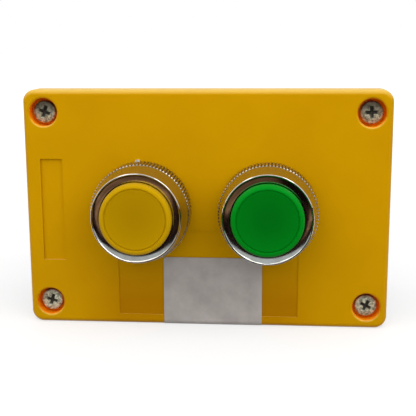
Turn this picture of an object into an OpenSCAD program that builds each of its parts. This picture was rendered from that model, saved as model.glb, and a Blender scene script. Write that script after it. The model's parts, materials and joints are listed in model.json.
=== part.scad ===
// Control station with two 22 mm pushbuttons: a yellow cover on a dark base, with a contact block behind each button.
// The origin is the middle of the wall side. X runs along the box, Z goes up it and the buttons face -Y.

/* [Enclosure] */
// Length of the cover
box_w = 108; // [104:1:130]
// Height of the cover
box_h = 71; // [66:1:90]
// Depth from the wall to the face of the cover
box_depth = 50; // [49:1:70]
// Depth of the cover's skirt
cover_depth = 8; // [7:0.5:14]
// Thickness of the cover's face
face_t = 2.8; // [2:0.1:3.4]
// Thickness of the side walls
wall_t = 2.6; // [2.2:0.1:3]
// Thickness of the base's wall side
back_t = 2.6; // [2:0.1:3.4]
// Radius of the upright corners
corner_r = 3.6; // [3:0.1:6]
// Rounding between the cover's face and its sides
edge_r = 1.6; // [0.8:0.1:2.2]
// How far the base stands back inside the cover's outline
base_step = 0.8; // [0.4:0.1:1.1]
// Draft of the base's sides, in degrees
draft = 2.5; // [0.5:0.25:3]
// Thickness of the gasket between cover and base
gasket_t = 0.8; // [0.5:0.1:1.4]
// Width of the gasket's band
gasket_w = 1.3; // [0.9:0.1:1.4]

/* [Cover screws] */
// Distance of the screws from the ends of the cover
screw_edge_w = 6.15; // [5.9:0.05:7.5]
// Distance of the screws from the long sides of the cover
screw_edge_h = 6.6; // [5.9:0.05:7.5]
// Diameter of the screw's thread
screw_d = 3.5; // [3:0.1:3.8]
// Length of the thread under the head
screw_len = 15; // [10:1:20]
// Diameter of the screw's head
screw_head_d = 6.6; // [6:0.1:7.2]
// Height of the screw's head
screw_head_h = 2.2; // [1.6:0.1:2.6]
// Diameter of the sunk hole for the head
sink_d = 8.2; // [7.6:0.1:9]
// Depth of the sunk hole
sink_depth = 3.6; // [3:0.1:4.4]
// Rounding of the sunk hole's mouth
sink_lip = 0.7; // [0.2:0.1:0.8]

/* [Wall fixing and cable entries] */
// Distance between the wall holes along the box
fix_w = 80; // [70:1:84]
// Distance between the wall holes up the box
fix_h = 44; // [40:1:46]
// Diameter of the wall holes
fix_d = 4.5; // [3.5:0.1:5.5]
// Diameter of the break-out disc for a cable gland
entry_d = 20.4; // [16:0.1:25]
// Width of the groove round the break-out disc
entry_groove_w = 1.2; // [0.6:0.1:2]
// Depth of the groove round the break-out disc
entry_groove_depth = 1; // [0.4:0.1:1.4]

/* [Face recesses and label] */
// Width of the upright strip recess
strip_w = 6.6; // [4:0.1:9]
// Height of the upright strip recess
strip_h = 30.8; // [20:0.1:36]
// Distance of the strip recess from the end of the cover
strip_edge = 4.7; // [3:0.1:8]
// Depth of the strip recess
strip_depth = 0.6; // [0.2:0.1:1]
// Width of the shallow label field
field_w = 54; // [40:1:60]
// Height of the shallow label field
field_h = 26.3; // [20:0.1:28]
// Distance of the label field from the lower side
field_edge = 3.1; // [2.4:0.1:5]
// Depth of the label field
field_depth = 0.2; // [0.1:0.05:0.4]
// Width of the blank label
label_w = 29.6; // [20:0.1:32]
// Height of the blank label above the cover's lower side
label_h = 21.1; // [12:0.1:21.5]
// How far the label stands proud of the face
label_t = 0.15; // [0.1:0.05:0.3]
// Shift of the label to the right of the middle
label_shift = 2; // [-6:0.5:6]
// Radius of the label's corners
label_corner_r = 0.9; // [0.3:0.1:1.5]
// How far the label wraps round the lower edge, in degrees
label_wrap = 58; // [20:1:60]

/* [Bezel and cap] */
// Distance between the two pushbuttons
button_pitch = 37; // [34:0.5:44]
// Height of the pushbuttons above the middle of the cover
button_rise = 0.4; // [-2:0.1:3]
// Diameter of the holes in the cover
hole_d = 22.4; // [22.3:0.1:22.8]
// Diameter of the bezel over its knurling
bezel_d = 29; // [28.6:0.1:31]
// Height of the bezel above the cover
bezel_h = 14.8; // [13:0.1:16]
// Height of the knurled skirt above the cover
skirt_h = 8; // [5:0.1:9]
// Diameter of the bezel's rim
rim_d = 25.8; // [25.2:0.1:26.4]
// Width of the polished rim line
rim_t = 0.35; // [0.3:0.05:0.6]
// Slope of the funnel down to the cap, in degrees
funnel_slope = 8; // [4:1:20]
// Rounding between the funnel and the rim
funnel_round = 0.9; // [0.5:0.05:1.2]
// Number of ridges in the knurling
knurl_teeth = 90; // [60:2:110]
// Depth of the knurling
knurl_depth = 0.45; // [0.2:0.05:0.5]
// Diameter of the cap
cap_d = 20.6; // [20:0.1:21]
// How far the cap stands above the rim
cap_proud = 2; // [0:0.1:2.5]
// Radial clearance between the cap and its guide
cap_gap = 0.35; // [0.2:0.05:0.45]
// Rounding of the cap's edge
cap_edge_r = 1.3; // [0.4:0.1:1.4]
// Wall of the cap
cap_t = 1.8; // [1.4:0.1:2]
// Diameter of the fine groove in the cap
groove_d = 17.4; // [14:0.1:18]
// Width of the fine groove
groove_w = 0.45; // [0.3:0.05:0.8]
// Depth of the fine groove
groove_depth = 0.35; // [0.2:0.05:0.6]
// Depth of the dished middle of the cap
dish = 0.5; // [0.1:0.1:0.8]
// Travel of the button
travel = 4.5; // [3:0.1:4.6]

/* [Barrel and stem] */
// Diameter of the barrel that passes through the cover
barrel_d = 22; // [21.6:0.1:22.1]
// Length of the barrel behind the cover's face
barrel_len = 16.8; // [16:0.1:19]
// Wall of the barrel
barrel_t = 1.6; // [1.2:0.1:2]
// Thickness of the barrel's flange
flange_t = 2.4; // [1.6:0.1:3]
// Depth of the spring ledge behind the cover's face
ledge_depth = 8; // [6:0.1:9]
// Thickness of the spring ledge
ledge_t = 1.5; // [1:0.1:2]
// Diameter of the stem
stem_d = 10.4; // [9:0.1:11]
// Clearance round a sliding piece
slide_gap = 0.3; // [0.2:0.05:0.35]
// Thickness of the locating washer
washer_t = 0.5; // [0.3:0.1:0.8]
// Thickness of the seal under the flange
seal_t = 0.7; // [0.5:0.1:1]
// Thickness of the lock nut
nut_t = 4; // [3:0.1:4.4]
// Diameter of the lock nut
nut_d = 28.4; // [26:0.1:30]
// Clearance where threads would be
thread_gap = 0.05; // [0.03:0.01:0.1]
// Thickness of the retaining clip
clip_t = 0.8; // [0.6:0.1:1]
// Diameter of the retaining clip
clip_d = 14; // [13:0.1:15]

/* [Contact block] */
// Width of the contact block
block_w = 18.4; // [18:0.1:22]
// Height of the contact block
block_h = 42; // [41.4:0.1:46]
// Depth of the contact block
block_depth = 23.5; // [23.5:0.1:25]
// Thickness of the block's front wall
block_front_t = 2.5; // [2:0.1:2.8]
// Thickness of the block's lid
lid_t = 2; // [1.5:0.1:2.4]
// Thickness of the holder's plate
holder_t = 2.5; // [2:0.1:3]
// Length of the holder's grip on the barrel
grip_len = 4.8; // [3:0.1:5]
// Travel of the contact bridge between its two pairs of contacts
contact_gap = 2.4; // [2:0.1:2.6]
// Thickness of the contact strips and the bridge
strip_metal_t = 1; // [0.8:0.1:1.1]
// Thickness of the contact rivets
rivet_t = 0.6; // [0.4:0.1:0.7]
// Diameter of the contact rivets
rivet_d = 3; // [2.4:0.1:3.4]
// Distance between the two rivets of the bridge
rivet_pitch = 18; // [17:0.1:19]
// Diameter of the wells for the terminal screws
well_d = 6.2; // [5.9:0.1:6.4]
// Distance between the terminal screws across the block
well_pitch_w = 9.2; // [9:0.1:9.6]
// Distance between the terminal screws along the block
well_pitch_h = 33.6; // [33.4:0.1:34]
// Diameter of the terminal screws
terminal_d = 3.2; // [2.6:0.1:3.4]

/* [Hidden] */
$fn = 72;

// Colours
cover_yellow = [0.93, 0.68, 0.02];
base_black = [0.13, 0.13, 0.14];
cap_yellow = [0.95, 0.76, 0.05];
cap_green = [0.02, 0.55, 0.2];
plated = [0.78, 0.77, 0.74];
copper = [0.8, 0.5, 0.25];
rubber_black = [0.08, 0.08, 0.08];
plastic_grey = [0.3, 0.31, 0.33];

// Sides of the box on which the two pushbuttons sit
yellow = -1;
green = 1;

// Overshoot of a cut past the face that it opens
cut = 1;
// Gap between pieces that are only laid together
seat_gap = 0.1;
// Gap left between contacts that touch
touch = 0.05;

// Levels along the line from the wall to the viewer, where 0 is the face of the cover
cover_back = -cover_depth;
base_front = cover_back - gasket_t;
base_floor = -box_depth + back_t;
base_depth = box_depth + base_front;

// Gap between the edge of the base and the gasket
gasket_edge = 0.4;

// Cover screws
screw_x = box_w / 2 - screw_edge_w;
screw_y = box_h / 2 - screw_edge_h;
screw_clear_d = screw_d + 0.5;
boss_r = sink_d / 2 + 1.2;
boss_foot_r = min(screw_edge_w, screw_edge_h) - base_step - gasket_edge - gasket_w - slide_gap;
post_r = 4.4;

// Bezel and cap
bezel_r = bezel_d / 2;
cap_r = cap_d / 2;
guide_r = cap_r + cap_gap;
cap_top = bezel_h + cap_proud;
cap_roof = cap_top - dish - cap_t;
seal_top = washer_t + seal_t;
flange_top = seal_top + flange_t;
rim_inner_r = rim_d / 2 - rim_t;
rim_slope = 40;
funnel_mouth_r = rim_inner_r - funnel_round * (sin(rim_slope) - sin(funnel_slope));
funnel_mouth = bezel_h - funnel_round * (cos(funnel_slope) - cos(rim_slope));
funnel_bottom = funnel_mouth - (funnel_mouth_r - guide_r) * tan(funnel_slope);
guide_top = funnel_bottom - 1.2;
guide_floor = flange_top - 1.6;
cap_bottom = guide_floor + travel + slide_gap;
knurl_root_r = bezel_r - knurl_depth;
flange_r = bezel_r - 1.5;
guide_outer_r = guide_r + 1.25;

// Barrel and stem
barrel_r = barrel_d / 2;
bore_r = barrel_r - barrel_t;
stem_r = stem_d / 2;
disc_r = cap_r - cap_t - seat_gap;
disc_t = 2;
disc_under = cap_roof - disc_t;
ledge_under = -ledge_depth - ledge_t;
clip_top = ledge_under - slide_gap;
clip_groove_r = stem_r - 0.8;

// Contact block
block_front = -barrel_len - 0.2 - holder_t;
block_back = block_front - block_depth;
cavity_roof = block_front - block_front_t;
lid_front = block_back + lid_t;
plunger_top = block_front + travel + 0.5;
stem_bottom = plunger_top + touch;
shoulder = cavity_roof - slide_gap;
nc_front = cavity_roof - 3.5;
nc_rivet_back = nc_front - strip_metal_t - rivet_t;
bridge_front = nc_rivet_back - touch - rivet_t;
bridge_back = bridge_front - strip_metal_t;
no_rivet_front = bridge_back - rivet_t - contact_gap - touch;
no_front = no_rivet_front - rivet_t;
window_front = bridge_front + travel - contact_gap + 1.6;
window_back = bridge_back - touch;
plunger_back = lid_front + travel + slide_gap;
pocket_bottom = window_back - 2.2;
cavity_w = 12;
cavity_h = 2 * (well_pitch_h / 2 - well_d / 2 - 1.2);
lid_ledge = 0.5;
bridge_w = 4.6;
finger_w = 4;
plunger_w = 9;
plunger_d = 6;
arm_w = 8;
arm_t = 2;
nib = 0.7;
nib_top = block_front - 3.5;
nib_h = 1.4;

// Places a piece in the frame of the cover's face: x along the box, y up it and z out of it
module on_face() {
    translate([0, -box_depth, 0]) rotate([90, 0, 0]) children();
}

// The same frame, centred on one pushbutton
module at_button(side) {
    on_face() translate([side * button_pitch / 2, button_rise, 0]) children();
}

// Repeats a piece at the corners of a rectangle
module four_corners(half_w, half_h) {
    for (i = [-1, 1], j = [-1, 1]) translate([i * half_w, j * half_h, 0]) children();
}

module rounded_rect(w, h, r) {
    square([w - 2 * r, h], center = true);
    square([w, h - 2 * r], center = true);
    four_corners(w / 2 - r, h / 2 - r) circle(r);
}

// A disc, ring or tube between two levels
module ring(r_out, r_in, low, high) {
    translate([0, 0, low]) difference() {
        cylinder(r = r_out, h = high - low);
        translate([0, 0, -cut]) cylinder(r = r_in, h = high - low + 2 * cut);
    }
}

// A box between two levels, given by its middle and size in the plane of the face
module slab(centre, size, low, high) {
    translate([centre[0], centre[1], (low + high) / 2]) cube([size[0], size[1], high - low], center = true);
}

// Section of the cover from its middle line to its side, with the rounded front edge
module edge_section(reach, depth, r) {
    translate([0, -depth]) square([reach, depth - r]);
    translate([0, -depth]) square([reach - r, depth]);
    translate([reach - r, -r]) circle(r);
}

// Block with rounded upright corners and a rounded edge round its front
module soft_block(w, h, depth, r, edge) {
    for (i = [0, 1]) {
        rotate([90, 0, i * 180]) linear_extrude(h - 2 * r, center = true) edge_section(w / 2, depth, edge);
        rotate([90, 0, 90 + i * 180]) linear_extrude(w - 2 * r, center = true) edge_section(h / 2, depth, edge);
    }
    for (i = [0:3]) {
        x = (i == 0 || i == 3 ? 1 : -1) * (w / 2 - r);
        y = (i < 2 ? 1 : -1) * (h / 2 - r);
        translate([x, y, 0]) rotate(90 * i) rotate_extrude(angle = 90) edge_section(r, depth, edge);
    }
}

// Width or height of the drafted base at a level
function base_size(full, level) = full - 2 * base_step - 2 * tan(draft) * (base_front - level);

// Drafted block of the base between two levels, inset all round
module drafted(inset, low, high, r) {
    w0 = base_size(box_w, low) - 2 * inset;
    h0 = base_size(box_h, low) - 2 * inset;
    w1 = base_size(box_w, high) - 2 * inset;
    h1 = base_size(box_h, high) - 2 * inset;
    translate([0, 0, low]) linear_extrude(high - low, scale = [w1 / w0, h1 / h0], slices = 1) {
        rounded_rect(w0, h0, r, $fn = 32);
    }
}

// A round coil of wire between two levels, as a tube swept along a helix
module coil(mean_r, wire_r, turns, low, high, steps, sides) {
    rings = turns * steps;
    rise = (high - low - 2 * wire_r) / rings;
    points = [
        for (i = [0:rings], k = [0:sides - 1])
            let (turn = 360 * i / steps, angle = 360 * k / sides, r = mean_r + wire_r * cos(angle))
            [r * cos(turn), r * sin(turn), low + wire_r + i * rise + wire_r * sin(angle)]
    ];
    walls = [
        for (i = [0:rings - 1], k = [0:sides - 1])
            let (next = (k + 1) % sides)
            [i * sides + k, i * sides + next, (i + 1) * sides + next, (i + 1) * sides + k]
    ];
    start = [for (k = [sides - 1:-1:0]) k];
    end = [for (k = [0:sides - 1]) rings * sides + k];
    polyhedron(points, concat([start, end], walls), convexity = 4);
}

// Base with posts for the cover screws, wall holes and a break-out disc at each end
module base() {
    color(base_black) on_face() difference() {
        union() {
            difference() {
                drafted(0, -box_depth, base_front, corner_r);
                drafted(wall_t, base_floor, base_front + cut, corner_r - 1.5);
            }
            intersection() {
                drafted(0, -box_depth, base_front, corner_r);
                four_corners(screw_x, screw_y) translate([0, 0, -box_depth]) cylinder(r = post_r, h = base_depth);
            }
            four_corners(fix_w / 2, fix_h / 2) translate([0, 0, base_floor - cut]) cylinder(d = fix_d + 5, h = 2.5);
        }
        four_corners(screw_x, screw_y) translate([0, 0, base_front - screw_len]) {
            cylinder(d = screw_d + 2 * thread_gap, h = screw_len + cut);
        }
        four_corners(fix_w / 2, fix_h / 2) translate([0, 0, -box_depth - cut]) cylinder(d = fix_d, h = 10);
        for (end = [-1, 1]) entry_groove(end);
    }
}

// Groove round the break-out disc in one end of the base
module entry_groove(end) {
    level = base_front - base_depth / 2;
    depth_x = base_size(box_w, level) / 2 - entry_groove_depth;
    translate([end * depth_x, 0, level]) rotate([0, end * 90, 0]) {
        ring(entry_d / 2, entry_d / 2 - entry_groove_w, 0, 5);
    }
}

// Cover with its sunk screw holes, button holes, strip recess and label field
module cover() {
    color(cover_yellow) on_face() difference() {
        union() {
            difference() {
                soft_block(box_w, box_h, cover_depth, corner_r, edge_r);
                translate([0, 0, cover_back - cut]) linear_extrude(cover_depth - face_t + cut) {
                    rounded_rect(box_w - 2 * wall_t, box_h - 2 * wall_t, 1);
                }
            }
            four_corners(screw_x, screw_y) {
                translate([0, 0, cover_back]) cylinder(r = boss_r, h = cover_depth - face_t / 2);
                translate([0, 0, base_front]) cylinder(r = boss_foot_r, h = gasket_t + cut);
            }
        }
        four_corners(screw_x, screw_y) {
            screw_sink();
            translate([0, 0, base_front - cut]) cylinder(d = screw_clear_d, h = cover_depth + gasket_t);
        }
        for (side = [yellow, green]) translate([side * button_pitch / 2, button_rise, 0]) button_hole();
        slab([strip_edge + strip_w / 2 - box_w / 2, -0.3], [strip_w, strip_h], -strip_depth, cut);
        slab([0.5, field_edge + field_h / 2 - box_h / 2], [field_w, field_h], -field_depth, cut);
    }
}

// Sunk hole for a screw head, with a rounded mouth
module screw_sink() {
    sink_r = sink_d / 2;
    mouth = [for (a = [0:15:90]) [sink_r + sink_lip * (1 - cos(a)), -sink_lip * (1 - sin(a))]];
    rotate_extrude() polygon(concat([[0, -sink_depth], [sink_r, -sink_depth]], mouth, [[sink_r + sink_lip, cut], [0, cut]]));
}

// Hole for the barrel, with the notch that keeps the pushbutton from turning
module button_hole() {
    translate([0, 0, -face_t - cut]) cylinder(d = hole_d, h = face_t + 2 * cut);
    slab([0, hole_d / 2], [2.4, 2], -face_t - cut, cut);
}

// Rubber band squeezed between cover and base
module cover_gasket() {
    margin = base_step + gasket_edge;
    color(rubber_black) on_face() translate([0, 0, base_front]) linear_extrude(gasket_t) difference() {
        rounded_rect(box_w - 2 * margin, box_h - 2 * margin, corner_r - margin);
        rounded_rect(box_w - 2 * (margin + gasket_w), box_h - 2 * (margin + gasket_w), 1);
    }
}

// Four pan-head cross-recess screws, each turned as it was left
module cover_screws() {
    turns = [-20, 3, -17, -27];
    color(plated) on_face() for (i = [0:3]) {
        x = (i % 2 == 0 ? -1 : 1) * screw_x;
        y = (i < 2 ? 1 : -1) * screw_y;
        translate([x, y, -sink_depth]) rotate(turns[i]) pan_screw();
    }
}

module pan_screw() {
    r = screw_head_d / 2;
    rise = screw_head_h;
    dome = [for (a = [0:15:90]) [r - 0.9 + 0.9 * cos(a), rise - 0.9 + 0.5 * sin(a)]];
    difference() {
        union() {
            rotate_extrude() polygon(concat([[0, 0], [r, 0]], dome, [[0, rise]]));
            translate([0, 0, -screw_len]) cylinder(d = screw_d, h = screw_len + rise / 2);
        }
        for (a = [0, 90]) rotate(a) slab([0, 0], [screw_head_d * 0.56, 0.9], rise - 1.2, rise + cut);
        translate([0, 0, rise - 1.5]) cylinder(r1 = 0.3, r2 = 1.1, h = 1.5 + touch);
    }
}

// Blank label: it fills the field, lies over its lower step and wraps round the lower edge
module blank_label() {
    low_side = -box_h / 2;
    field_low = low_side + field_edge;
    label_top = low_side + label_h;
    bend = low_side + edge_r;
    corner = label_corner_r;
    color("whitesmoke") on_face() translate([label_shift, 0, 0]) {
        translate([0, 0, -field_depth]) linear_extrude(field_depth + label_t) {
            translate([-label_w / 2, field_low]) square([label_w, label_top - corner - field_low]);
            translate([0, label_top - 1.5 * corner]) rounded_rect(label_w, 3 * corner, corner);
        }
        slab([0, (field_low + bend) / 2], [label_w, field_low - bend], 0, label_t);
        translate([-label_w / 2, bend, -edge_r]) rotate([0, 90, 0]) rotate(180) {
            rotate_extrude(angle = label_wrap) translate([edge_r, 0]) square([label_t, label_w]);
        }
    }
}

// Outline of the knurled skirt, one ridge and one groove to a tooth
module knurl_outline() {
    step = 360 / knurl_teeth;
    polygon([
        for (i = [0:knurl_teeth - 1], k = [0, 1])
            let (r = k == 0 ? bezel_r : knurl_root_r, a = step * (i + k / 2))
            [r * cos(a), r * sin(a)]
    ]);
}

// Knurled metal ring with its cone, polished rim and funnel
module bezel(side) {
    bottom = washer_t + seat_gap;
    bevel = knurl_depth * 2 / 3;
    core_r = knurl_root_r - 0.3;
    cone_r = bezel_r - bevel - touch;
    rim_r = rim_d / 2;
    rim_lip = 0.25;
    funnel = [
        for (a = [funnel_slope:(rim_slope - funnel_slope) / 4:rim_slope])
            [
                rim_inner_r - funnel_round * (sin(rim_slope) - sin(a)),
                bezel_h - funnel_round * (cos(a) - cos(rim_slope))
            ]
    ];
    body = [[0, bottom], [core_r, bottom], [core_r, skirt_h - 0.8], [cone_r, skirt_h - 0.1], [cone_r, skirt_h]];
    lip = [for (a = [0:30:90]) [rim_r - rim_lip * (1 - cos(a)), bezel_h - rim_lip * (1 - sin(a))]];
    envelope = [
        [0, bottom], [bezel_r - bevel, bottom], [bezel_r, bottom + bevel], [bezel_r, skirt_h - bevel],
        [bezel_r - bevel, skirt_h], [0, skirt_h]
    ];
    hollow = concat(
        [[0, bottom - cut], [flange_r + seat_gap, bottom - cut], [flange_r + seat_gap, flange_top + seat_gap]],
        [[guide_outer_r + seat_gap, flange_top + seat_gap], [guide_outer_r + seat_gap, guide_top]],
        [[guide_r, guide_top], [guide_r, funnel_bottom]],
        funnel,
        [[rim_inner_r, bezel_h + cut], [0, bezel_h + cut]]
    );
    color(plated) at_button(side) difference() {
        union() {
            rotate_extrude() polygon(concat(body, lip, [[0, bezel_h]]));
            intersection() {
                translate([0, 0, bottom]) linear_extrude(skirt_h - bottom) knurl_outline();
                rotate_extrude() polygon(envelope);
            }
        }
        rotate_extrude() polygon(hollow);
    }
}

// Cap with a rounded edge, a fine ring groove and a dished middle, hollow below
module cap(side, hue) {
    edge = [for (a = [0:15:90]) [cap_r - cap_edge_r * (1 - cos(a)), cap_top - cap_edge_r * (1 - sin(a))]];
    groove_r = groove_d / 2;
    bowl = [for (r = [8:-1:0]) [groove_r * r / 9, cap_top - 0.15 - dish * (1 - pow(r / 9, 2))]];
    section = concat(
        [[cap_r - cap_t, cap_bottom], [cap_r, cap_bottom]],
        edge,
        [[groove_r + groove_w, cap_top], [groove_r + groove_w / 2, cap_top - groove_depth]],
        [[groove_r, cap_top - groove_depth], [groove_r - groove_w / 2, cap_top - 0.15]],
        bowl,
        [[0, cap_roof], [cap_r - cap_t, cap_roof]]
    );
    color(hue) at_button(side) rotate_extrude() polygon(section);
}

// Stem: a disc held in the cap, and a rod that reaches the contact block
module stem(side) {
    section = [
        [0, cap_roof], [disc_r, cap_roof], [disc_r, disc_under], [stem_r, disc_under],
        [stem_r, clip_top + touch], [clip_groove_r, clip_top + touch],
        [clip_groove_r, clip_top - clip_t - touch], [stem_r, clip_top - clip_t - touch],
        [stem_r, stem_bottom + 0.6], [stem_r - 0.6, stem_bottom], [0, stem_bottom]
    ];
    color("gainsboro") at_button(side) rotate_extrude() polygon(section);
}

// Open clip in the stem's groove, which stops the stem under the spring ledge
module retaining_clip(side) {
    color(plated) at_button(side) difference() {
        ring(clip_d / 2, clip_groove_r + touch, clip_top - clip_t, clip_top);
        slab([0, -clip_d / 2], [clip_groove_r * 1.2, clip_d], clip_top - clip_t - cut, clip_top + cut);
    }
}

// Sleeve: guide for the cap, flange on the seal, and barrel with the spring ledge
module sleeve(side) {
    section = [
        [guide_outer_r, guide_top - seat_gap], [guide_outer_r, flange_top], [flange_r, flange_top],
        [flange_r, seal_top], [barrel_r, seal_top], [barrel_r, 0.6 - barrel_len], [barrel_r - 0.6, -barrel_len],
        [bore_r, -barrel_len], [bore_r, ledge_under], [stem_r + slide_gap, ledge_under],
        [stem_r + slide_gap, -ledge_depth], [bore_r, -ledge_depth], [bore_r, guide_floor],
        [guide_r, guide_floor], [guide_r, guide_top - seat_gap]
    ];
    color(base_black) at_button(side) difference() {
        rotate_extrude() polygon(section);
        slab([0, barrel_r], [2.4, 1.8], -barrel_len - cut, seal_top - touch);
    }
}

// Thin washer with a key for the sleeve's slot and a small blunt mark, which shows above the yellow bezel only
module locating_washer(side) {
    outer_r = flange_r + 0.8;
    tip = bezel_r + (side == yellow ? 0.2 : -0.7);
    color(plated) at_button(side) {
        ring(outer_r, barrel_r + seat_gap, 0, washer_t);
        slab([0, barrel_r - 0.1], [2, 0.9], 0, washer_t);
        linear_extrude(washer_t) polygon([[-2.6, outer_r - 0.6], [-0.4, outer_r - 0.4], [-0.9, tip], [-2, tip]]);
    }
}

module panel_seal(side) {
    color(rubber_black) at_button(side) ring(flange_r - seat_gap, barrel_r + seat_gap, washer_t, seal_top);
}

// Round nut with six spanner notches
module lock_nut(side) {
    color(plated) at_button(side) difference() {
        ring(nut_d / 2, barrel_r + thread_gap, -face_t - nut_t, -face_t);
        for (a = [30:60:330]) rotate(a) slab([nut_d / 2, 0], [2.4, 3], -face_t - nut_t - cut, -face_t + cut);
    }
}

module return_spring(side) {
    color("silver") at_button(side) coil(stem_r + 1.5, 0.5, 6, -ledge_depth, disc_under, 18, 8);
}

// Holder: a ring that grips the barrel, and a plate with two hooked arms for the contact block
module contact_holder(side) {
    plate_front = block_front + holder_t;
    arm_y = block_h / 2 + seat_gap;
    color(plastic_grey) at_button(side) difference() {
        union() {
            translate([0, 0, plate_front]) cylinder(r = barrel_r + 2.4, h = grip_len);
            slab([0, 0], [block_w + 1.6, block_h + 2 * seat_gap + 2 * arm_t], block_front, plate_front);
            for (end = [-1, 1]) {
                slab([0, end * (arm_y + arm_t / 2)], [arm_w, arm_t], nib_top - nib_h, block_front + cut);
                slab([0, end * (arm_y + arm_t / 2 - nib / 2)], [arm_w, arm_t + nib], nib_top - nib_h, nib_top);
            }
        }
        translate([0, 0, plate_front]) cylinder(r = barrel_r + thread_gap, h = grip_len + cut);
        translate([0, 0, block_front - cut]) cylinder(r = bore_r, h = holder_t + 2 * cut);
    }
}

// The strip of one fixed contact, from its finger in the block to its pad under a terminal screw
module contact_strip(pad_side, front, gap) {
    inner = rivet_pitch / 2 - rivet_d / 2 - 0.4;
    pad_in = well_pitch_h / 2 - well_d / 2 + 0.2;
    pad_out = well_pitch_h / 2 + well_d / 2 - 0.3;
    pad_x0 = -1.2;
    pad_x1 = well_pitch_w / 2 + well_d / 2 - 0.3;
    low = front - strip_metal_t - gap;
    high = front + gap;
    slab([0, (inner + pad_in + 1) / 2], [finger_w + 2 * gap, pad_in + 1 - inner], low, high);
    slab(
        [pad_side * (pad_x0 + pad_x1) / 2, (pad_in + pad_out) / 2],
        [pad_x1 - pad_x0 + 2 * gap, pad_out - pad_in + 2 * gap], low, high
    );
}

// Two fixed contacts, one at each end of the block, with the rivet on the side that the bridge meets
module fixed_contacts(side, pad_side, front, rivet_low) {
    color(copper) at_button(side) for (end = [0, 1]) mirror([0, end, 0]) difference() {
        union() {
            contact_strip(pad_side, front, 0);
            translate([0, rivet_pitch / 2, rivet_low]) cylinder(d = rivet_d, h = rivet_t + strip_metal_t / 2);
        }
        translate([pad_side * well_pitch_w / 2, well_pitch_h / 2, front - strip_metal_t - cut]) {
            cylinder(d = terminal_d + 2 * touch, h = strip_metal_t + 2 * cut);
        }
    }
}

module nc_contacts(side) {
    fixed_contacts(side, -1, nc_front, nc_rivet_back);
}

module no_contacts(side) {
    fixed_contacts(side, 1, no_front, no_rivet_front - rivet_t - strip_metal_t / 2);
}

// Housing of the contact block, open at the back, with wells for the terminal screws
module contact_block(side) {
    color(base_black) at_button(side) difference() {
        slab([0, 0], [block_w, block_h], block_back, block_front);
        slab([0, 0], [cavity_w, cavity_h], lid_front, cavity_roof);
        slab([0, 0], [cavity_w + 2 * lid_ledge, cavity_h + 2 * lid_ledge], block_back - cut, lid_front);
        translate([0, 0, cavity_roof - cut]) cylinder(d = plunger_d + 2 * slide_gap, h = block_front_t + 2 * cut);
        for (end = [0, 1]) mirror([0, end, 0]) {
            terminal_well(-1, nc_front);
            terminal_well(1, no_front);
            slab([0, block_h / 2], [arm_w + 2 * seat_gap, 2 * nib], nib_top - nib_h - seat_gap, nib_top + seat_gap);
        }
    }
}

// Slot for a contact strip, well for its screw and bore for the screw's tip
module terminal_well(pad_side, front) {
    contact_strip(pad_side, front, seat_gap / 2);
    translate([pad_side * well_pitch_w / 2, well_pitch_h / 2, block_back - cut]) {
        cylinder(d = well_d, h = front - block_back + cut - strip_metal_t / 2);
        cylinder(d = terminal_d + 0.4, h = front - block_back + cut + 3.2);
    }
}

module terminal_screws(side) {
    color(plated) at_button(side) for (end = [0, 1]) mirror([0, end, 0]) {
        terminal_screw(-1, nc_front);
        terminal_screw(1, no_front);
    }
}

module terminal_screw(pad_side, front) {
    under = front - strip_metal_t;
    head_h = 1.8;
    translate([pad_side * well_pitch_w / 2, well_pitch_h / 2, under]) difference() {
        union() {
            cylinder(d = terminal_d, h = strip_metal_t + 2.8);
            translate([0, 0, -head_h]) cylinder(d = well_d - 0.6, h = head_h);
        }
        slab([0, 0], [well_d, 0.8], -head_h - cut, 0.9 - head_h);
    }
}

// Lid over the back of the contact block, with a pip that centres the spring
module block_lid(side) {
    w = cavity_w + 2 * (lid_ledge - seat_gap);
    h = cavity_h + 2 * (lid_ledge - seat_gap);
    color(plastic_grey) at_button(side) {
        slab([0, 0], [w, h], block_back, lid_front);
        translate([0, 0, lid_front - cut]) cylinder(r = 1.1, h = cut + 1.2);
    }
}

// Plunger of the contact block, with a window for the bridge and a pocket for its spring
module contact_plunger(side) {
    color("gainsboro") at_button(side) difference() {
        union() {
            translate([0, 0, shoulder - cut]) cylinder(d = plunger_d, h = plunger_top - shoulder + cut);
            slab([0, 0], [plunger_w, plunger_d], plunger_back, shoulder);
        }
        slab([0, 0], [bridge_w + 2 * slide_gap, plunger_d + 2 * cut], window_back, window_front);
        translate([0, 0, plunger_back - cut]) cylinder(r = 2.3, h = pocket_bottom - plunger_back + cut);
    }
}

// Moving contact bridge, with a rivet on both sides at each end
module contact_bridge(side) {
    color(copper) at_button(side) {
        slab([0, 0], [bridge_w, rivet_pitch + rivet_d + 1], bridge_back, bridge_front);
        for (end = [-1, 1]) translate([0, end * rivet_pitch / 2, bridge_back - rivet_t]) {
            cylinder(d = rivet_d, h = strip_metal_t + 2 * rivet_t);
        }
    }
}

module contact_spring(side) {
    color("silver") at_button(side) coil(1.7, 0.2, 3, bridge_front, window_front, 12, 6);
}

module block_spring(side) {
    color("silver") at_button(side) coil(1.75, 0.25, 6, lid_front, pocket_bottom, 12, 6);
}

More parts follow.
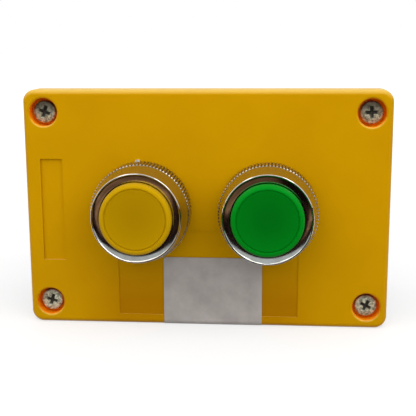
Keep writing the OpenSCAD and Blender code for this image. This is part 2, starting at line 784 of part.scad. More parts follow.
base();
cover();
cover_gasket();
cover_screws();
blank_label();
bezel(yellow);  // yellow_bezel
cap(yellow, cap_yellow);  // yellow_cap
stem(yellow);  // yellow_stem
retaining_clip(yellow);  // yellow_retaining_clip
sleeve(yellow);  // yellow_sleeve
locating_washer(yellow);  // yellow_locating_washer
panel_seal(yellow);  // yellow_panel_seal
lock_nut(yellow);  // yellow_lock_nut
return_spring(yellow);  // yellow_return_spring
contact_holder(yellow);  // yellow_contact_holder
contact_block(yellow);  // yellow_contact_block
block_lid(yellow);  // yellow_block_lid
contact_plunger(yellow);  // yellow_contact_plunger
contact_bridge(yellow);  // yellow_contact_bridge
nc_contacts(yellow);  // yellow_nc_contacts
no_contacts(yellow);  // yellow_no_contacts
terminal_screws(yellow);  // yellow_terminal_screws
contact_spring(yellow);  // yellow_contact_spring
block_spring(yellow);  // yellow_block_spring
bezel(green);  // green_bezel
cap(green, cap_green);  // green_cap
stem(green);  // green_stem
retaining_clip(green);  // green_retaining_clip
sleeve(green);  // green_sleeve
locating_washer(green);  // green_locating_washer
panel_seal(green);  // green_panel_seal
lock_nut(green);  // green_lock_nut
return_spring(green);  // green_return_spring
contact_holder(green);  // green_contact_holder
contact_block(green);  // green_contact_block
block_lid(green);  // green_block_lid
contact_plunger(green);  // green_contact_plunger
contact_bridge(green);  // green_contact_bridge
nc_contacts(green);  // green_nc_contacts
no_contacts(green);  // green_no_contacts
terminal_screws(green);  // green_terminal_screws
contact_spring(green);  // green_contact_spring
block_spring(green);  // green_block_spring
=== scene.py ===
import json
import math

import bmesh
import bpy
from mathutils import Matrix, Vector


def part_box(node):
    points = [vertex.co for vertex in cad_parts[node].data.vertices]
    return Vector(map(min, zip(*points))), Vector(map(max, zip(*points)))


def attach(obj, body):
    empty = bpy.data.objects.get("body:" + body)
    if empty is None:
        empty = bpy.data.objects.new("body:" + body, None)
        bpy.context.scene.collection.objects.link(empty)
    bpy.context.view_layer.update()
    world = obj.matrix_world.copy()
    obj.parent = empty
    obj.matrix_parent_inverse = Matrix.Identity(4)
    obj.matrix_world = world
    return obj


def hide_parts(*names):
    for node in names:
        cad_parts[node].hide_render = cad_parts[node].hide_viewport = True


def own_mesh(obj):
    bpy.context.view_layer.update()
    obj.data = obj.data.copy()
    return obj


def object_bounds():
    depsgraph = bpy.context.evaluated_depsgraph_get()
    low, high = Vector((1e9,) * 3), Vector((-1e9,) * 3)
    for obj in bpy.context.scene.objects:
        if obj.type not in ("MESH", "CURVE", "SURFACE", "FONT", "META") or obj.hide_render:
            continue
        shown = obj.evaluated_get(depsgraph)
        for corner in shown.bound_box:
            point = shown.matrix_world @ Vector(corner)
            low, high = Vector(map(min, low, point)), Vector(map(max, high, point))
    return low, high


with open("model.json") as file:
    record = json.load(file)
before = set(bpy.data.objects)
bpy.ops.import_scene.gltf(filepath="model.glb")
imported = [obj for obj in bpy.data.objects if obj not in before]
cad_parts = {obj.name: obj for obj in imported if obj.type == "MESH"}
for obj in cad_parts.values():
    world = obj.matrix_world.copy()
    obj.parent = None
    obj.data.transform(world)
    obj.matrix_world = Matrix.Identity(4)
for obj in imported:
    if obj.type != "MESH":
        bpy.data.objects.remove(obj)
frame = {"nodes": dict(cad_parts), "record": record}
cad_low, cad_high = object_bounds()

MM = 0.001
NODES = frame["nodes"]
SIDES = ("yellow", "green")

# Cover: its face, its sunk screw holes, and the middle and half sizes of its label field along x and z
FACE_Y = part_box("cover")[0].y
SINK_R = 4.1 * MM
SEAT_DEPTH = 3.6 * MM
FIELD_MIDDLE = (0.5 * MM, -19.25 * MM)
FIELD_HALF = (27 * MM, 13.15 * MM)

# Painted shade on the label field: the heights where it starts and is full, and how far behind the cover's
# face it reaches
SHADE_Z = (-14 * MM, -28 * MM)
SHADE_DEPTH = 1 * MM
# Its soft part beside the field: the shift of its middle, and how far past the edge it is gone and full
SHADE_SHIFT = -3 * MM
SHADE_FADE = (10 * MM, -3 * MM)

# Cover screws: pan heads with a tapered cross recess, their tops at a depth behind the cover's face
SCREW_HEAD_R = 3.3 * MM
SCREW_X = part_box("cover_screws")[1].x - SCREW_HEAD_R
SCREW_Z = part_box("cover_screws")[1].z - SCREW_HEAD_R
HEAD_HEIGHT = 2.2 * MM
HEAD_DEPTH = SEAT_DEPTH - HEAD_HEIGHT
HEAD_EDGE_R = 0.5 * MM
CROWN_RISE = 0.4 * MM
SCREW_LENGTH = 15 * MM
SHANK_R = 1.75 * MM
TIP_R = 1.2 * MM
TIP_LENGTH = 2 * MM
SOFT_EDGE = 0.07 * MM
CROSS_REACH = 2.15 * MM
CROSS_HALF_W = 0.6 * MM
CROSS_DEPTH = 1.35 * MM
# Level over the head's top, and the share of the cross's size there
CROSS_TAPER = ((0.5 * MM, 1.12), (-0.6 * CROSS_DEPTH, 0.72), (-CROSS_DEPTH, 0.35))
# Turn of each screw's cross, in degrees, as the photo shows it, by the screw's side along x and z
CROSS_TURNS = {(-1, 1): -20, (1, 1): 3, (-1, -1): -17, (1, -1): -27}

# Pushbuttons: radii from a button's axis, and heights over the cover's face
CAP_FLAT_R = 8.6 * MM
CAP_DISH_R = 9 * MM
GUIDE_R = 10.65 * MM
FUNNEL_R = 12.1 * MM
RIM_INNER_R = 12.55 * MM
RIM_R = 12.9 * MM
BEZEL_HEIGHT = 14.8 * MM
SKIRT_HEIGHT = 8 * MM

# Springs: corners round the wire, and rings of them in one turn
WIRE_SIDES = 8
WIND_STEPS = 24

# Floor, world and lamps
FLOOR_Z = cad_low.z
FLOOR_HALF = 4.0
FLOOR_GREY = (0.45, 0.45, 0.45, 1)
LIT_PLACE = (0, -0.35, FLOOR_Z)
WORLD_LIGHT = 0.72
LAMP_SIZE = 0.45
LAMP_TARGET = Vector((0, -0.05, 0))
LAMPS = {"right_lamp": ((0.24, -0.33, 0.33), 1.17), "left_lamp": ((-0.2, -0.33, 0.33), 0.82)}

# The room that the bright metal shows: a table of this half width runs from near to far, with walls round it
ROOM_HALF = 1.2
ROOM_NEAR = -0.06
ROOM_FAR = -0.9
ROOM_HORIZON = -0.01
ROOM_TOP = 0.8
SIDE_TOP = 0.12
TABLE_Z = FLOOR_Z + 0.001
BOARD_Z = TABLE_Z + 0.001
# Left, right, front and back of what lies on the table
BOARDS = ((-0.055, -0.012, -0.12, -0.2), (0.014, 0.05, -0.12, -0.2), (-0.035, -0.012, -0.2, -0.32))
STRIP = (-0.08, 0.08, -0.0505, -0.085)
# Where the noise of a card's clouds is at its darkest and its lightest
CLOUD_EDGES = (0.46, 0.6)

# The photo's camera, above and to the right of the station
CAMERA_PLACE = Vector((0.021026, -0.295509, 0.050316))
CAMERA_TARGET = Vector((0.0007, -0.05, 0.0008))
CAMERA_ROLL = math.radians(-0.29)
CAMERA_LENS = 73.56
CAMERA_SENSOR = 36
CAMERA_CLIP = 0.01


def display(red, green, blue):
    """A colour written as it shows on a screen, 0 to 255, as the linear one that shaders use."""
    parts = []
    for value in (red, green, blue):
        share = value / 255
        parts.append(share / 12.92 if share <= 0.04045 else ((share + 0.055) / 1.055) ** 2.4)
    return (*parts, 1.0)


def button_centre(side):
    """The axis of one pushbutton, at the cover's face."""
    low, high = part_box(f"{side}_bezel")
    return Vector(((low.x + high.x) / 2, FACE_Y, (low.z + high.z) / 2))


def socket_name(word):
    """The shader's name of a socket that is written as a plain argument."""
    return word.replace("_", " ").title().replace("Ior", "IOR")


def add_node(tree, kind, links=None, **settings):
    """A shader node with its settings. Links are socket values, or the outputs that feed those sockets."""
    made = tree.nodes.new(kind)
    for key, value in settings.items():
        setattr(made, key, value)
    for socket, value in (links or {}).items():
        if isinstance(value, bpy.types.NodeSocket):
            tree.links.new(value, made.inputs[socket])
        else:
            made.inputs[socket].default_value = value
    return made


# Materials

class Finish:
    """A material with one Principled shader, and short calls for the nodes that feed it."""

    def __init__(self, name, **values):
        self.material = bpy.data.materials.new(name)
        self.material.use_nodes = True
        self.tree = self.material.node_tree
        self.shader = self.tree.nodes["Principled BSDF"]
        for word, value in values.items():
            self.shader.inputs[socket_name(word)].default_value = value
        self.place = self.add("ShaderNodeTexCoord").outputs["Object"]

    def add(self, kind, links=None, **settings):
        """A node of this material."""
        return add_node(self.tree, kind, links, **settings)

    def math(self, operation, first, second=0.0):
        """The result of one sum, product or function."""
        return self.add("ShaderNodeMath", {0: first, 1: second}, operation=operation).outputs[0]

    def times(self, *masks):
        """The product of masks, which is 1 only where all of them are."""
        product = masks[0]
        for mask in masks[1:]:
            product = self.math("MULTIPLY", product, mask)
        return product

    def noise(self, size, detail=3.0, roughness=0.55, stretch=None):
        """Noise with features of about this size in metres, from 0 to 1."""
        where = self.place
        if stretch:
            where = self.add("ShaderNodeVectorMath", {0: where, 1: stretch}, operation="MULTIPLY").outputs[0]
        links = {"Vector": where, "Scale": 1 / size, "Detail": detail, "Roughness": roughness}
        return self.add("ShaderNodeTexNoise", links).outputs[0]

    def band(self, value, low, high, to_low=0.0, to_high=1.0):
        """A value's place between low and high, held between the two results."""
        links = {"Value": value, "From Min": low, "From Max": high, "To Min": to_low, "To Max": to_high}
        return self.add("ShaderNodeMapRange", links).outputs[0]

    def mix(self, factor, first, second):
        """A blend of two colours."""
        made = self.add("ShaderNodeMix", data_type="RGBA")
        for identifier, value in (("Factor_Float", factor), ("A_Color", first), ("B_Color", second)):
            entry = next(s for s in made.inputs if s.identifier == identifier)
            if isinstance(value, bpy.types.NodeSocket):
                self.tree.links.new(value, entry)
            else:
                entry.default_value = value
        return next(s for s in made.outputs if s.identifier == "Result_Color")

    def axes(self):
        """The point's x, its depth behind the cover's face, and its z."""
        made = self.add("ShaderNodeSeparateXYZ", {0: self.place})
        return made.outputs[0], self.math("SUBTRACT", made.outputs[1], FACE_Y), made.outputs[2]

    def distance(self, value, middle):
        """How far a coordinate lies from the middle, to either side."""
        return self.math("ABSOLUTE", self.math("SUBTRACT", value, middle))

    def within(self, value, middle, half):
        """1 where a coordinate lies within half of the middle, with a soft edge."""
        return self.band(self.distance(value, middle), half + 0.1 * MM, half - 0.1 * MM)

    def radius(self, centre_x, centre_z, mirrored=False):
        """Distance from an axis along Y. Mirrored takes the nearest of four such axes."""
        x, _, z = self.axes()
        if mirrored:
            x = self.math("ABSOLUTE", x)
            z = self.math("ABSOLUTE", z)
        dx = self.math("SUBTRACT", x, centre_x)
        dz = self.math("SUBTRACT", z, centre_z)
        return self.math("SQRT", self.math("ADD", self.times(dx, dx), self.times(dz, dz)))

    def bump(self, height, depth, under=None):
        """Bump of this depth in metres where the height goes from 0 to 1, over another bump."""
        links = {"Height": height, "Distance": depth, "Strength": 1.0}
        if under:
            links["Normal"] = under
        return self.add("ShaderNodeBump", links).outputs[0]

    def set(self, **feeds):
        """Feeds sockets of the shader. A later call replaces an earlier one."""
        for word, value in feeds.items():
            self.tree.links.new(value, self.shader.inputs[socket_name(word)])


def moulded(name, colour, deep, rough, grain, grain_depth, **values):
    """Moulded plastic that slowly turns to a deeper colour and back, with a fine grain and rubbed spots."""
    finish = Finish(name, **values)
    slow = finish.noise(18 * MM, 2)
    finish.tone = finish.mix(finish.band(slow, 0.3, 0.7), deep, colour)
    rubbed = finish.noise(5 * MM, 6, 0.7)
    finish.set(
        base_color=finish.tone,
        roughness=finish.band(rubbed, 0.3, 0.7, rough - 0.05, rough + 0.07),
        normal=finish.bump(finish.noise(grain, 2), grain_depth),
    )
    return finish


def painted_field_shade(finish):
    """Mask of painted shade: 1 on the lower part of the label field, under the buttons. It fades softly
    beside it, and reaches further on the left.
    """
    x, depth, z = finish.axes()
    across = finish.within(x, FIELD_MIDDLE[0], FIELD_HALF[0])
    upright = finish.within(z, FIELD_MIDDLE[1], FIELD_HALF[1])
    off_shade = finish.distance(x, FIELD_MIDDLE[0] + SHADE_SHIFT)
    none, full = (FIELD_HALF[0] + fade for fade in SHADE_FADE)
    beside = finish.band(off_shade, none, full, 0, 0.6)
    lower = finish.band(z, *SHADE_Z)
    front = finish.band(depth, SHADE_DEPTH + 0.2 * MM, SHADE_DEPTH)
    return finish.times(finish.math("MAXIMUM", finish.times(across, upright), beside), lower, front)


def sunk_mask(finish):
    """1 in the sunk screw holes, from just under the face to the heads' seat."""
    _, depth, _ = finish.axes()
    inside = finish.band(finish.radius(SCREW_X, SCREW_Z, mirrored=True), SINK_R + 0.4 * MM, SINK_R)
    below_face = finish.band(depth, 0.05 * MM, 0.6 * MM)
    above_seat = finish.band(depth, SEAT_DEPTH + 0.4 * MM, SEAT_DEPTH + 0.2 * MM)
    return finish.times(inside, below_face, above_seat)


def cover_finish():
    """Yellow cover, with painted orange of bounced light in the sunk holes, painted shade on and beside the
    label field, and a painted sheen where it faces up.
    """
    finish = moulded(
        "cover_plastic", display(201, 148, 1), display(195, 142, 1),
        rough=0.42, grain=0.35 * MM, grain_depth=0.004 * MM,
        ior=1.46, specular_ior_level=0.3, specular_tint=(1.0, 0.5, 0.02, 1.0),
        subsurface_radius=(1.0, 0.5, 0.05), subsurface_scale=3 * MM,
    )
    # Painted sheen: paler where the surface faces up, standing in for the light above shining on the top
    # edge.
    normal = finish.add("ShaderNodeNewGeometry").outputs["Normal"]
    upward = finish.add("ShaderNodeSeparateXYZ", {0: normal}).outputs[2]
    painted_sheen = finish.band(upward, 0.15, 0.8, 0, 0.4)
    # The darker yellow on and beside the label field is painted shade from the buttons.
    yellow = finish.mix(painted_field_shade(finish), finish.tone, display(172, 116, 1))
    face = finish.mix(painted_sheen, yellow, display(250, 224, 130))
    # Painted orange in the sunk holes, standing in for light bounced inside them and through the plastic.
    # The same mask makes the plastic translucent there.
    sunk = sunk_mask(finish)
    finish.set(
        base_color=finish.mix(sunk, face, display(248, 138, 4)),
        subsurface_weight=finish.times(sunk, 0.6),
    )
    return finish.material


def cap_finish(side, edge, middle, gloss):
    """Moulded cap, brighter on its rounded edge than in its dished middle, where shade is painted, deepest
    at the centre.
    """
    finish = moulded(
        f"{side}_cap_plastic", edge, edge, rough=0.34, grain=0.5 * MM, grain_depth=0.0015 * MM,
        ior=1.46, specular_ior_level=0.2, specular_tint=gloss,
    )
    centre = button_centre(side)
    radius = finish.radius(centre.x, centre.z)
    # Painted shade: the dished middle takes the darker colour, more so towards the centre.
    inside = finish.band(radius, CAP_FLAT_R + 0.3 * MM, CAP_FLAT_R)
    dished = finish.band(radius, 2 * MM, CAP_DISH_R, 0, 0.4)
    finish.set(base_color=finish.mix(inside, finish.tone, finish.mix(dished, middle, edge)))
    return finish.material


def bezel_masks(finish, side, radius):
    """Masks of a bezel: its cone behind the rim, a painted dark reflection on the upper part of the rounding
    inside its rim, and painted brown shade in the grooves between its knurls.
    """
    low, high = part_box(f"{side}_bezel")
    knurl_r = (high.x - low.x) / 2
    middle_z = (low.z + high.z) / 2
    _, depth, z = finish.axes()
    outside = finish.band(radius, RIM_R - 0.1 * MM, RIM_R - 0.05 * MM)
    behind_rim = finish.band(depth, 0.2 * MM - BEZEL_HEIGHT, 0.4 * MM - BEZEL_HEIGHT)
    # Painted dark reflection on the rounding between the funnel and the rim, strongest towards the top.
    past_funnel = finish.band(radius, FUNNEL_R - 0.05 * MM, FUNNEL_R + 0.1 * MM)
    before_rim = finish.band(radius, RIM_INNER_R, RIM_INNER_R - 0.1 * MM)
    upper = finish.band(z, middle_z - 2 * MM, middle_z + 4 * MM, 0, 0.85)
    # Painted shade: the grooves between the knurls take a brown colour, spread in patches, and are rougher
    # there.
    groove = finish.band(radius, knurl_r - 0.1 * MM, knurl_r - 0.35 * MM)
    skirt = finish.band(depth, -SKIRT_HEIGHT, 0.4 * MM - SKIRT_HEIGHT)
    spread = finish.band(finish.noise(2.5 * MM, 3), 0.3, 0.6, 0.55, 1.0)
    cone = finish.times(outside, behind_rim)
    painted_mouth_reflection = finish.times(past_funnel, before_rim, upper)
    dark_hollows = finish.times(groove, skirt, spread)
    return cone, painted_mouth_reflection, dark_hollows


def bezel_bump(finish, radius):
    """A slightly bowed funnel, a fine grain and the fine rings left by turning."""
    bowed = finish.band(radius, GUIDE_R, FUNNEL_R, -0.5, 1.0)
    funnel = finish.bump(finish.times(bowed, bowed), 0.034 * MM)
    grain = finish.bump(finish.noise(0.12 * MM, 2), 0.0006 * MM, funnel)
    rings = {"W": radius, "Scale": 1 / (0.09 * MM), "Detail": 2.0}
    turning = finish.add("ShaderNodeTexNoise", rings, noise_dimensions="1D").outputs[0]
    return finish.bump(turning, 0.0012 * MM, grain)


def turned_finish(side):
    """Turned and chromed metal of a bezel, duller on its cone."""
    finish = Finish(f"{side}_bezel_metal", metallic=1.0)
    centre = button_centre(side)
    radius = finish.radius(centre.x, centre.z)
    cone, painted_mouth_reflection, dark_hollows = bezel_masks(finish, side, radius)
    patches = finish.noise(3 * MM, 5, 0.65)
    chrome = finish.mix(finish.band(patches, 0.4, 0.7), display(236, 233, 228), display(214, 208, 198))
    # The dark colour on the rounding inside the rim is a painted reflection.
    metal = finish.mix(painted_mouth_reflection, finish.mix(cone, chrome, display(188, 182, 170)), display(60, 50, 44))
    rough = finish.math("ADD", finish.band(patches, 0.3, 0.7, 0.05, 0.12), finish.times(cone, 0.12))
    finish.set(
        # The brown between the knurls is painted shade.
        base_color=finish.mix(dark_hollows, metal, display(96, 72, 44)),
        roughness=finish.math("ADD", rough, finish.times(dark_hollows, 0.3)),
        normal=bezel_bump(finish, radius),
    )
    return finish.material


def plated_finish():
    """Zinc-plated steel. The cover screws' heads are spotted, with painted shadow over their tops, and they
    are dark and not metallic deep in the cross.
    """
    finish = Finish("plated_steel", metallic=1.0)
    _, depth, z = finish.axes()
    from_axis = finish.radius(SCREW_X, SCREW_Z, mirrored=True)
    near_face = finish.band(depth, SEAT_DEPTH + 0.8 * MM, SEAT_DEPTH + 0.6 * MM)
    near_axis = finish.band(from_axis, SCREW_HEAD_R + 0.5 * MM, SCREW_HEAD_R + 0.2 * MM)
    on_head = finish.times(near_axis, near_face)
    in_cross = finish.band(from_axis, CROSS_REACH + 0.05 * MM, CROSS_REACH - 0.25 * MM)
    deep = finish.band(depth, HEAD_DEPTH + 0.3 * MM, HEAD_DEPTH + 0.9 * MM)
    dark_hollows = finish.times(in_cross, deep, near_face)
    # Painted shadow of the sink's upper wall: it starts a little under the axes of the upper screws, and a
    # little over those of the lower ones
    painted_shadow_start = finish.times(finish.math("SIGN", z), SCREW_Z - 1.2 * MM)
    above = finish.math("SUBTRACT", z, painted_shadow_start)
    painted_shadow = finish.times(finish.band(above, 0, 3 * MM, 0, 0.88), on_head)
    spots = finish.mix(on_head, display(206, 203, 196), display(146, 142, 120))
    bright = finish.mix(on_head, display(246, 244, 238), display(240, 238, 212))
    metal = finish.mix(finish.band(finish.noise(0.8 * MM, 4, 0.7), 0.38, 0.58), spots, bright)
    # The heads' darker tops are painted shadow.
    finish.set(
        base_color=finish.mix(dark_hollows, finish.mix(painted_shadow, metal, display(70, 66, 50)), display(50, 43, 30)),
        metallic=finish.math("SUBTRACT", 1.0, dark_hollows),
        roughness=finish.band(finish.noise(0.9 * MM, 6, 0.7), 0.3, 0.7, 0.5, 0.75),
        normal=finish.bump(finish.noise(0.25 * MM, 5, 0.7, stretch=(1, 1, 0.3)), 0.02 * MM),
    )
    return finish.material


def wire_finish():
    """Drawn spring wire, with marks along its length."""
    finish = Finish("spring_steel", metallic=1.0)
    finish.set(
        base_color=finish.mix(finish.noise(1 * MM), display(150, 150, 152), display(190, 190, 190)),
        roughness=finish.band(finish.noise(0.5 * MM, 4), 0.3, 0.7, 0.25, 0.4),
        normal=finish.bump(finish.noise(0.1 * MM, 3, stretch=(1, 6, 1)), 0.002 * MM),
    )
    return finish.material


def copper_finish():
    """Stamped copper alloy, a little tarnished."""
    finish = Finish("contact_copper", metallic=1.0)
    finish.set(
        base_color=finish.mix(finish.noise(2 * MM, 5), display(196, 140, 92), display(226, 178, 128)),
        roughness=finish.band(finish.noise(0.8 * MM, 4), 0.3, 0.7, 0.22, 0.42),
        normal=finish.bump(finish.noise(0.15 * MM, 3, stretch=(8, 1, 1)), 0.002 * MM),
    )
    return finish.material


def film_finish():
    """Plain label film: faint clouds in its white, and the slight waviness of a film stuck by hand."""
    finish = Finish("label_film", ior=1.45)
    clouds = finish.band(finish.noise(6 * MM, 5, 0.6), 0.3, 0.7)
    finish.set(
        base_color=finish.mix(clouds, display(160, 153, 148), display(180, 173, 168)),
        roughness=finish.band(finish.noise(3 * MM, 4), 0.3, 0.7, 0.42, 0.55),
        normal=finish.bump(finish.noise(3.5 * MM, 2), 0.03 * MM),
    )
    return finish.material


FINISHES = {
    "cover_plastic": cover_finish(),
    "base_plastic": moulded(
        "base_plastic", display(52, 52, 54), display(44, 44, 46),
        rough=0.55, grain=0.45 * MM, grain_depth=0.03 * MM, ior=1.46,
    ).material,
    # Each cap's middle colour is painted shade.
    "yellow_cap_plastic": cap_finish(
        "yellow", edge=display(190, 148, 4), middle=display(165, 125, 1), gloss=(1, 0.65, 0.03, 1)
    ),
    "green_cap_plastic": cap_finish(
        "green", edge=display(1, 130, 22), middle=display(0, 103, 14), gloss=(0.1, 1, 0.3, 1)
    ),
    "plated_steel": plated_finish(),
    "spring_steel": wire_finish(),
    "contact_copper": copper_finish(),
    "rubber_black": moulded(
        "rubber_black", display(38, 38, 38), display(28, 28, 28),
        rough=0.75, grain=0.3 * MM, grain_depth=0.01 * MM,
    ).material,
    "grey_plastic": moulded(
        "grey_plastic", display(84, 86, 90), display(74, 76, 80),
        rough=0.5, grain=0.4 * MM, grain_depth=0.012 * MM,
    ).material,
    "natural_plastic": moulded(
        "natural_plastic", display(224, 222, 214), display(214, 212, 202),
        rough=0.45, grain=0.5 * MM, grain_depth=0.004 * MM,
    ).material,
    "label_film": film_finish(),
}


def dress_nodes():
    """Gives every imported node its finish, by the material slot that the record names."""
    turned = {side: turned_finish(side) for side in SIDES}
    for entry in frame["record"]["subparts"]:
        node, slot = entry["node"], entry["material_slot"]
        made = turned[node.split("_")[0]] if slot == "bezel_metal" else FINISHES[slot]
        data = NODES[node].data
        data.materials.clear()
        data.materials.append(made)


# Pieces

def link_mesh(name, mesh):
    """Turns a finished bmesh into an object of the scene, and frees it."""
    data = bpy.data.meshes.new(name)
    mesh.to_mesh(data)
    mesh.free()
    made = bpy.data.objects.new(name, data)
    bpy.context.scene.collection.objects.link(made)
    return made


def add_piece(name, mesh, body, slot, smooth_angle):
    """Links a bmesh as a piece that rides on a body and takes its finish from a slot."""
    mesh.normal_update()
    piece = link_mesh(name, mesh)
    piece.data.materials.append(FINISHES[slot])
    piece.data.shade_smooth()
    piece.data.set_sharp_from_angle(angle=math.radians(smooth_angle))
    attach(piece, body)
    return piece


def skin(mesh, rings, ends=False):
    """Joins each ring of corners to the next, and closes the ends where asked. A ring may be one corner."""
    steps = max(len(ring) for ring in rings)
    for one, other in zip(rings, rings[1:]):
        for k in range(steps):
            there = [one[i % len(one)] for i in (k, k + 1)]
            back = [other[i % len(other)] for i in (k + 1, k)]
            mesh.faces.new(list(dict.fromkeys(there + back)))
    if ends:
        mesh.faces.new(rings[0])
        mesh.faces.new(list(reversed(rings[-1])))
    bmesh.ops.recalc_face_normals(mesh, faces=mesh.faces)


def lathe(mesh, outline, steps):
    """Turns an outline of (radius, height) points round the Z axis. Its ends lie on the axis."""
    turns = [2 * math.pi * k / steps for k in range(steps)]
    rings = []
    for radius, height in outline:
        points = [(radius * math.cos(a), radius * math.sin(a), height) for a in turns]
        if radius == 0:
            points = points[:1]
        rings.append([mesh.verts.new(point) for point in points])
    skin(mesh, rings)


# Cover screws

def cross_cutter():
    """A tapered four-winged point, which cuts the cross recess."""
    wing = ((CROSS_REACH, -CROSS_HALF_W), (CROSS_REACH, CROSS_HALF_W), (CROSS_HALF_W, CROSS_HALF_W))
    outline = []
    for k in range(4):
        quarter = Matrix.Rotation(k * math.pi / 2, 3, "Z")
        outline += [quarter @ Vector((x, y, 0)) for x, y in wing]
    mesh = bmesh.new()
    rings = []
    for level, share in CROSS_TAPER:
        rings.append([mesh.verts.new((p.x * share, p.y * share, level)) for p in outline])
    skin(mesh, rings, ends=True)
    return link_mesh("cross_cutter", mesh)


def pan_screw():
    """One plain pan-head screw, with the top of its head at level 0."""
    tip = -HEAD_HEIGHT - SCREW_LENGTH
    outline = [(0, tip), (TIP_R, tip), (SHANK_R, tip + TIP_LENGTH), (SHANK_R, -HEAD_HEIGHT)]
    outline.append((SCREW_HEAD_R, -HEAD_HEIGHT))
    for degrees in range(0, 91, 15):
        a = math.radians(degrees)
        radius = SCREW_HEAD_R - HEAD_EDGE_R * (1 - math.cos(a))
        outline.append((radius, -CROWN_RISE - HEAD_EDGE_R * (1 - math.sin(a))))
    crown_r, crown_level = outline[-1]
    for share in (0.75, 0.5, 0.25, 0):
        outline.append((crown_r * share, crown_level * share * share))
    mesh = bmesh.new()
    lathe(mesh, outline, steps=48)
    return link_mesh("pan_screw", mesh)


def cut_screw_mesh():
    """The mesh of a screw with its recess cut and its edges softened."""
    screw = pan_screw()
    cutter = cross_cutter()
    cut = screw.modifiers.new("cross", "BOOLEAN")
    cut.operation = "DIFFERENCE"
    cut.object = cutter
    cut.solver = "EXACT"
    soften = screw.modifiers.new("edges", "BEVEL")
    soften.width = SOFT_EDGE
    soften.segments = 2
    soften.limit_method = "ANGLE"
    soften.angle_limit = math.radians(40)
    graph = bpy.context.evaluated_depsgraph_get()
    made = bpy.data.meshes.new_from_object(screw.evaluated_get(graph), depsgraph=graph)
    bpy.data.objects.remove(screw)
    bpy.data.objects.remove(cutter)
    return made


def add_cover_screws():
    """Four screws in one piece, each turned as it was left."""
    one = cut_screw_mesh()
    mesh = bmesh.new()
    facing = Matrix.Rotation(math.radians(90), 4, "X")
    for (i, j), degrees in CROSS_TURNS.items():
        copy = one.copy()
        place = Vector((i * SCREW_X, FACE_Y + HEAD_DEPTH, j * SCREW_Z))
        turn = Matrix.Rotation(math.radians(degrees), 4, "Z")
        copy.transform(Matrix.Translation(place) @ facing @ turn)
        mesh.from_mesh(copy)
    piece = add_piece("cross_screws", mesh, "station", "plated_steel", smooth_angle=50)
    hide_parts("cover_screws")


# Springs of the pushbuttons

def wind(mesh, low, high, wire_r, turns):
    """Winds a spring along Y into a box. Its last turn at each end lies flat against its neighbour."""
    centre = (low + high) / 2
    mean_r = (high.x - low.x) / 2 - wire_r
    count = int(turns * WIND_STEPS)
    rings = []
    for i in range(count + 1):
        share = i / count
        lift = min(max((share * turns - 0.5) / (turns - 1), 0), 1)
        y = low.y + wire_r + (high.y - low.y - 2 * wire_r) * lift
        turn = 2 * math.pi * turns * share
        out = Vector((math.cos(turn), 0, math.sin(turn)))
        ring = []
        for k in range(WIRE_SIDES):
            a = 2 * math.pi * k / WIRE_SIDES
            at = centre + out * (mean_r + wire_r * math.cos(a))
            ring.append(mesh.verts.new((at.x, y + wire_r * math.sin(a), at.z)))
        rings.append(ring)
    skin(mesh, rings, ends=True)


def add_spring(node, body, wire_r, turns):
    """A wound spring in its node's place."""
    low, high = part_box(node)
    mesh = bmesh.new()
    wind(mesh, low, high, wire_r, turns)
    piece = add_piece(node.replace("_", "_wound_", 1), mesh, body, "spring_steel", smooth_angle=80)
    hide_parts(node)
    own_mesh(piece)


def add_springs():
    """The return spring, block spring and contact spring of each pushbutton."""
    for side in SIDES:
        add_spring(f"{side}_return_spring", "station", wire_r=0.5 * MM, turns=6)
        add_spring(f"{side}_block_spring", "station", wire_r=0.25 * MM, turns=6)
        add_spring(f"{side}_contact_spring", f"{side}_bridge", wire_r=0.2 * MM, turns=3)


# Stage, lights and camera

def flat(left, right, front, back, height):
    """The corners of a level rectangle."""
    return [(left, front, height), (right, front, height), (right, back, height), (left, back, height)]


def plain_mesh(name, corners):
    """An object made of one four-cornered face for each four corners."""
    mesh = bmesh.new()
    for k in range(0, len(corners), 4):
        mesh.faces.new([mesh.verts.new(at) for at in corners[k:k + 4]])
    return link_mesh(name, mesh)


def bare_tree(owner):
    """Clears an owner's node tree for a material or world that isn't made with Finish."""
    owner.use_nodes = True
    owner.node_tree.nodes.clear()
    return owner.node_tree


def shown_ray(tree):
    """1 for the rays that show a background: the camera's, and those of reflections and glass."""
    path = add_node(tree, "ShaderNodeLightPath")
    shown = path.outputs["Is Camera Ray"]
    for kind in ("Is Glossy Ray", "Is Transmission Ray"):
        links = {0: shown, 1: path.outputs[kind]}
        shown = add_node(tree, "ShaderNodeMath", links, operation="MAXIMUM").outputs[0]
    return shown


def strength(tree, factor, low, high, start=0.0, end=1.0):
    """A strength that goes from low to high as the factor goes from start to end."""
    links = {"Value": factor, "From Min": start, "From Max": end, "To Min": low, "To Max": high}
    return add_node(tree, "ShaderNodeMapRange", links).outputs[0]


def add_floor():
    """A pale floor that shows white and keeps shadows. It glows more where the lamps reach less."""
    floor = plain_mesh("floor", flat(-FLOOR_HALF, FLOOR_HALF, -FLOOR_HALF, FLOOR_HALF, FLOOR_Z))
    made = bpy.data.materials.new("floor_pale")
    tree = bare_tree(made)
    diffuse = add_node(tree, "ShaderNodeBsdfDiffuse", {"Color": FLOOR_GREY})
    place = add_node(tree, "ShaderNodeTexCoord").outputs["Object"]
    away = add_node(tree, "ShaderNodeVectorMath", {0: place, 1: LIT_PLACE}, operation="DISTANCE")
    more = strength(tree, away.outputs["Value"], low=0.53, high=0.88, start=0.25, end=1.0)
    shown = add_node(tree, "ShaderNodeMath", {0: shown_ray(tree), 1: more}, operation="MULTIPLY")
    glow = add_node(tree, "ShaderNodeEmission", {"Strength": shown.outputs[0]})
    both = add_node(tree, "ShaderNodeAddShader", {0: diffuse.outputs[0], 1: glow.outputs[0]})
    add_node(tree, "ShaderNodeOutputMaterial", {0: both.outputs[0]})
    floor.data.materials.append(made)


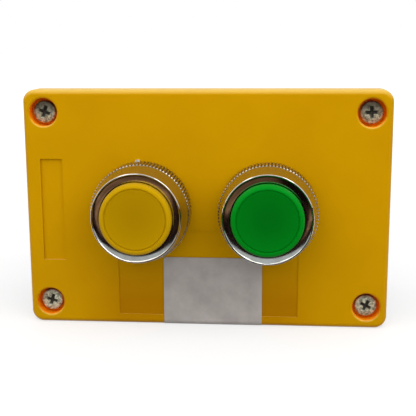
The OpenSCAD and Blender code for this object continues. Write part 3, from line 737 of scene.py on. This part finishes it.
def add_world():
    """Soft light from all round, which is white where a background shows."""
    world = bpy.data.worlds.new("studio")
    bpy.context.scene.world = world
    tree = bare_tree(world)
    level = strength(tree, shown_ray(tree), low=WORLD_LIGHT, high=1.0)
    background = add_node(tree, "ShaderNodeBackground", {"Color": (1, 1, 1, 1), "Strength": level})
    add_node(tree, "ShaderNodeOutputWorld", {0: background.outputs[0]})


def add_lamps():
    """Two soft lamps over the station's front, which face it."""
    for name, (place, power) in LAMPS.items():
        lamp = bpy.data.lights.new(name, "AREA")
        lamp.shape = "RECTANGLE"
        lamp.size = LAMP_SIZE
        lamp.size_y = LAMP_SIZE
        lamp.energy = power
        made = bpy.data.objects.new(name, lamp)
        bpy.context.scene.collection.objects.link(made)
        made.location = place
        made.rotation_euler = (LAMP_TARGET - Vector(place)).to_track_quat("-Z", "Y").to_euler()


def add_card(name, corners, cloud_size, dark, light):
    """A studio card that only reflections show. It glows in soft clouds of this size, in two colours."""
    card = plain_mesh(name, corners)
    for kind in ("camera", "diffuse", "shadow", "transmission", "volume_scatter"):
        setattr(card, f"visible_{kind}", False)
    made = bpy.data.materials.new(name)
    tree = bare_tree(made)
    place = add_node(tree, "ShaderNodeTexCoord").outputs["Object"]
    cloud = add_node(tree, "ShaderNodeTexNoise", {"Vector": place, "Scale": 1 / cloud_size, "Detail": 2})
    ramp = add_node(tree, "ShaderNodeValToRGB", {0: cloud.outputs[0]})
    for element, at, colour in zip(ramp.color_ramp.elements, CLOUD_EDGES, (dark, light)):
        element.position = at
        element.color = colour
    glow = add_node(tree, "ShaderNodeEmission", {"Color": ramp.outputs[0]})
    add_node(tree, "ShaderNodeOutputMaterial", {0: glow.outputs[0]})
    card.data.materials.append(made)


def wall(start, end, low, high):
    """The corners of an upright rectangle over the line from start to end, each a pair of x and y."""
    return [(*start, low), (*end, low), (*end, high), (*start, high)]


def add_cards():
    """What the bright metal shows: boards and a strip on a dark table, in a dark room with a pale wall."""
    black = display(10, 6, 6)
    far_left, far_right = (-ROOM_HALF, ROOM_FAR), (ROOM_HALF, ROOM_FAR)
    near_left, near_right = (-ROOM_HALF, ROOM_NEAR), (ROOM_HALF, ROOM_NEAR)
    table = flat(-ROOM_HALF, ROOM_HALF, ROOM_NEAR, ROOM_FAR, TABLE_Z)
    add_card("dark_table", table, cloud_size=0.05, dark=black, light=display(44, 28, 24))
    boards = []
    for board in BOARDS:
        boards += flat(*board, BOARD_Z)
    add_card("brown_boards", boards, cloud_size=0.03, dark=display(84, 60, 44), light=display(142, 108, 80))
    strip = flat(*STRIP, BOARD_Z)
    add_card("grey_strip", strip, cloud_size=0.1, dark=display(160, 166, 170), light=display(172, 178, 182))
    room = wall(far_left, far_right, TABLE_Z, ROOM_HORIZON)
    room += wall(near_left, far_left, TABLE_Z, SIDE_TOP)
    room += wall(near_right, far_right, TABLE_Z, SIDE_TOP)
    add_card("dark_room", room, cloud_size=0.3, dark=black, light=display(70, 40, 34))
    pale = wall(far_left, far_right, ROOM_HORIZON, ROOM_TOP)
    add_card("pale_wall", pale, cloud_size=0.8, dark=display(174, 182, 185), light=display(184, 192, 195))


def add_camera():
    """A camera at the photo's place, with its lens and its slight roll."""
    data = bpy.data.cameras.new("photo_camera")
    data.sensor_width = CAMERA_SENSOR
    data.lens = CAMERA_LENS
    data.clip_start = CAMERA_CLIP
    camera = bpy.data.objects.new("photo_camera", data)
    bpy.context.scene.collection.objects.link(camera)
    aim = (CAMERA_TARGET - CAMERA_PLACE).to_track_quat("-Z", "Y").to_matrix().to_4x4()
    camera.matrix_world = Matrix.Translation(CAMERA_PLACE) @ aim @ Matrix.Rotation(CAMERA_ROLL, 4, "Z")
    bpy.context.scene.camera = camera


dress_nodes()
add_cover_screws()
add_springs()
add_floor()
add_world()
add_cards()
add_lamps()
add_camera()
bpy.context.scene.view_settings.view_transform = "Standard"
